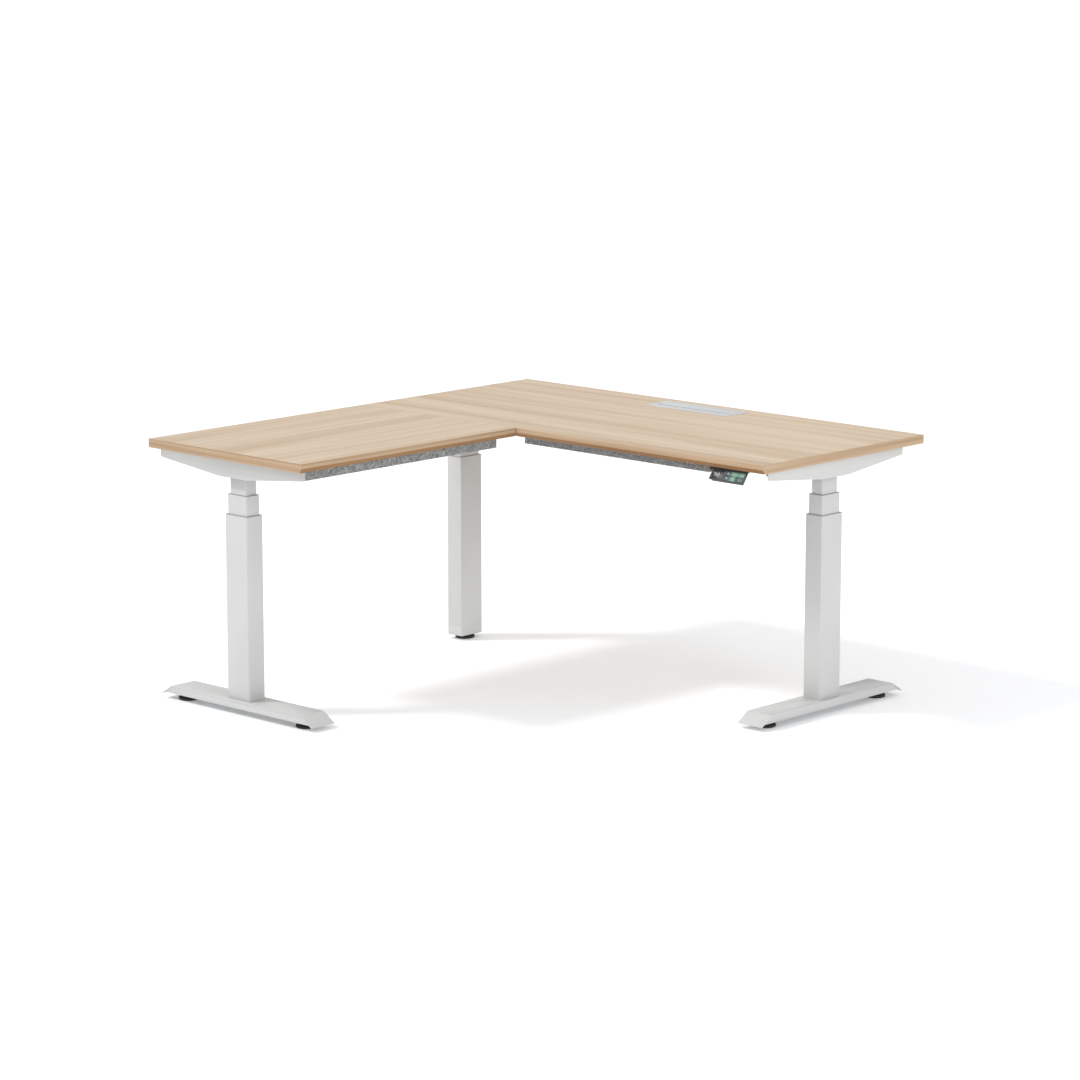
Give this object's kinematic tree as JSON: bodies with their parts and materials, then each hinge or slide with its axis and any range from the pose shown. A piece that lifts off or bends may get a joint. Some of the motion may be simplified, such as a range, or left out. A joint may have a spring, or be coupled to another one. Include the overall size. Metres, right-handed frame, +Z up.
{
  "type": "height adjustable standing desk",
  "caption": "L-shaped electric sit-stand desk with a wood-look top, telescopic columns, flat T-feet, felt cable trays, a keypad and a flap over its cable port.",
  "frame": {"origin": "middle of the desk's square footprint, on the floor", "axes": "+X to the right along the main worktop, +Y to the back, +Z up; the return comes forward from the left end"},
  "size_m": [1.524, 1.524, 0.743],
  "materials": {
    "powder_white": "matte white powder coat",
    "zinc_steel": "bright zinc plate",
    "grey_steel": "light grey primer coat",
    "oak_laminate": "matte light oak laminate",
    "oak_edge": "matte oak edge band",
    "grey_felt": "pressed mottled felt",
    "black_plastic": "fine textured black",
    "display_glass": "glossy black window",
    "slate_keys": "satin dark slate",
    "green_keys": "satin muted green",
    "pad_rubber": "matte black",
    "port_alloy": "white coated sheet",
    "bristle": "nylon bristles"
  },
  "bodies": {
    "base": {"left_foot_cover": "powder_white", "right_foot_cover": "powder_white", "foot_beams": "grey_steel", "corner_base_cap": "powder_white", "left_outer_tube": "powder_white", "right_outer_tube": "powder_white", "corner_outer_tube": "powder_white", "outer_glides": "black_plastic", "column_base_plates": "zinc_steel", "foot_bolts": "zinc_steel", "push_tubes": "zinc_steel"},
    "mid_left": {"left_mid_tube": "powder_white", "left_mid_glide": "black_plastic"},
    "mid_right": {"right_mid_tube": "powder_white", "right_mid_glide": "black_plastic"},
    "mid_corner": {"corner_mid_tube": "powder_white", "corner_mid_glide": "black_plastic"},
    "hollow_left": {"left_hollow_screw": "zinc_steel"},
    "hollow_right": {"right_hollow_screw": "zinc_steel"},
    "hollow_corner": {"corner_hollow_screw": "zinc_steel"},
    "screw_left": {"left_drive_screw": "zinc_steel"},
    "screw_right": {"right_drive_screw": "zinc_steel"},
    "screw_corner": {"corner_drive_screw": "zinc_steel"},
    "top": {"left_inner_tube": "powder_white", "right_inner_tube": "powder_white", "corner_inner_tube": "powder_white", "head_plates": "zinc_steel", "drive_motors": "grey_steel", "left_arm": "powder_white", "right_arm": "powder_white", "corner_arm": "powder_white", "main_rails": "grey_steel", "return_rails": "grey_steel", "frame_bolts": "zinc_steel", "main_desktop": "oak_laminate", "return_desktop": "oak_laminate", "edge_bands": "oak_edge", "seam_plates": "grey_steel", "wood_screws": "zinc_steel", "main_cable_tray": "grey_felt", "return_cable_tray": "grey_felt", "control_box": "black_plastic", "power_inlet": "black_plastic", "handset_body": "black_plastic", "handset_display": "display_glass", "cable_port_frame": "port_alloy", "cable_port_brush": "bristle", "cable_port_pin": "zinc_steel"},
    "port_lid": {"cable_port_lid": "port_alloy"},
    "key_up": {"button_up": "slate_keys"},
    "key_down": {"button_down": "slate_keys"},
    "key_1": {"button_1": "green_keys"},
    "key_2": {"button_2": "green_keys"},
    "key_3": {"button_3": "green_keys"},
    "key_memory": {"button_memory": "slate_keys"},
    "foot_left_outer": {"left_foot_leveller_outer": "pad_rubber"},
    "foot_left_inner": {"left_foot_leveller_inner": "pad_rubber"},
    "foot_right_front": {"right_foot_leveller_front": "pad_rubber"},
    "foot_right_rear": {"right_foot_leveller_rear": "pad_rubber"},
    "foot_corner": {"corner_leveller": "pad_rubber"}
  },
  "joints": [
    {"name": "lift", "type": "slide", "parent": "base", "child": "top", "axis": [0, 0, 1], "range_m": [-0.095, 0.54]},
    {"name": "mid_left_slide", "type": "slide", "parent": "base", "child": "mid_left", "axis": [0, 0, 1], "range_m": [-0.0475, 0.27]},
    {"name": "mid_right_slide", "type": "slide", "parent": "base", "child": "mid_right", "axis": [0, 0, 1], "range_m": [-0.0475, 0.27]},
    {"name": "mid_corner_slide", "type": "slide", "parent": "base", "child": "mid_corner", "axis": [0, 0, 1], "range_m": [-0.0475, 0.27]},
    {"name": "screw_left_spin", "type": "hinge", "parent": "top", "child": "screw_left", "pos_m": [-0.4535, -0.6905, 0.3], "axis": [0, 0, 1], "range_deg": [-2140, 12160]},
    {"name": "hollow_left_spin", "type": "hinge", "parent": "mid_left", "child": "hollow_left", "pos_m": [-0.4535, -0.6905, 0.3], "axis": [0, 0, 1], "range_deg": [-2140, 12160]},
    {"name": "screw_right_spin", "type": "hinge", "parent": "top", "child": "screw_right", "pos_m": [0.6905, 0.414, 0.3], "axis": [0, 0, 1], "range_deg": [-2140, 12160]},
    {"name": "hollow_right_spin", "type": "hinge", "parent": "mid_right", "child": "hollow_right", "pos_m": [0.6905, 0.414, 0.3], "axis": [0, 0, 1], "range_deg": [-2140, 12160]},
    {"name": "screw_corner_spin", "type": "hinge", "parent": "top", "child": "screw_corner", "pos_m": [-0.6905, 0.414, 0.3], "axis": [0, 0, 1], "range_deg": [-2140, 12160]},
    {"name": "hollow_corner_spin", "type": "hinge", "parent": "mid_corner", "child": "hollow_corner", "pos_m": [-0.6905, 0.414, 0.3], "axis": [0, 0, 1], "range_deg": [-2140, 12160]},
    {"name": "port_lid_hinge", "type": "hinge", "parent": "top", "child": "port_lid", "pos_m": [0, 0.7085, 0.74], "axis": [-1, 0, 0], "range_deg": [0, 95]},
    {"name": "press_up", "type": "slide", "parent": "top", "child": "key_up", "axis": [0, 0.8192, -0.5736], "range_m": [0, 0.0008], "stiffness_N_per_m": 800, "springref_m": -0.0006},
    {"name": "press_down", "type": "slide", "parent": "top", "child": "key_down", "axis": [0, 0.8192, -0.5736], "range_m": [0, 0.0008], "stiffness_N_per_m": 800, "springref_m": -0.0006},
    {"name": "press_1", "type": "slide", "parent": "top", "child": "key_1", "axis": [0, 0.8192, -0.5736], "range_m": [0, 0.0008], "stiffness_N_per_m": 800, "springref_m": -0.0006},
    {"name": "press_2", "type": "slide", "parent": "top", "child": "key_2", "axis": [0, 0.8192, -0.5736], "range_m": [0, 0.0008], "stiffness_N_per_m": 800, "springref_m": -0.0006},
    {"name": "press_3", "type": "slide", "parent": "top", "child": "key_3", "axis": [0, 0.8192, -0.5736], "range_m": [0, 0.0008], "stiffness_N_per_m": 800, "springref_m": -0.0006},
    {"name": "press_memory", "type": "slide", "parent": "top", "child": "key_memory", "axis": [0, 0.8192, -0.5736], "range_m": [0, 0.0008], "stiffness_N_per_m": 800, "springref_m": -0.0006},
    {"name": "level_left_outer", "type": "slide", "parent": "base", "child": "foot_left_outer", "axis": [0, 0, -1], "range_m": [0, 0.01]},
    {"name": "level_left_inner", "type": "slide", "parent": "base", "child": "foot_left_inner", "axis": [0, 0, -1], "range_m": [0, 0.01]},
    {"name": "level_right_front", "type": "slide", "parent": "base", "child": "foot_right_front", "axis": [0, 0, -1], "range_m": [0, 0.01]},
    {"name": "level_right_rear", "type": "slide", "parent": "base", "child": "foot_right_rear", "axis": [0, 0, -1], "range_m": [0, 0.01]},
    {"name": "level_corner", "type": "slide", "parent": "base", "child": "foot_corner", "axis": [0, 0, -1], "range_m": [0, 0.01]}
  ],
  "couplings": [
    {"joint": "mid_left_slide", "follows": "lift", "ratio": 0.5},
    {"joint": "mid_right_slide", "follows": "lift", "ratio": 0.5},
    {"joint": "mid_corner_slide", "follows": "lift", "ratio": 0.5},
    {"joint": "screw_left_spin", "follows": "lift", "rad_per_m": 392.7},
    {"joint": "hollow_left_spin", "follows": "lift", "rad_per_m": 392.7},
    {"joint": "screw_right_spin", "follows": "lift", "rad_per_m": 392.7},
    {"joint": "hollow_right_spin", "follows": "lift", "rad_per_m": 392.7},
    {"joint": "screw_corner_spin", "follows": "lift", "rad_per_m": 392.7},
    {"joint": "hollow_corner_spin", "follows": "lift", "rad_per_m": 392.7}
  ]
}
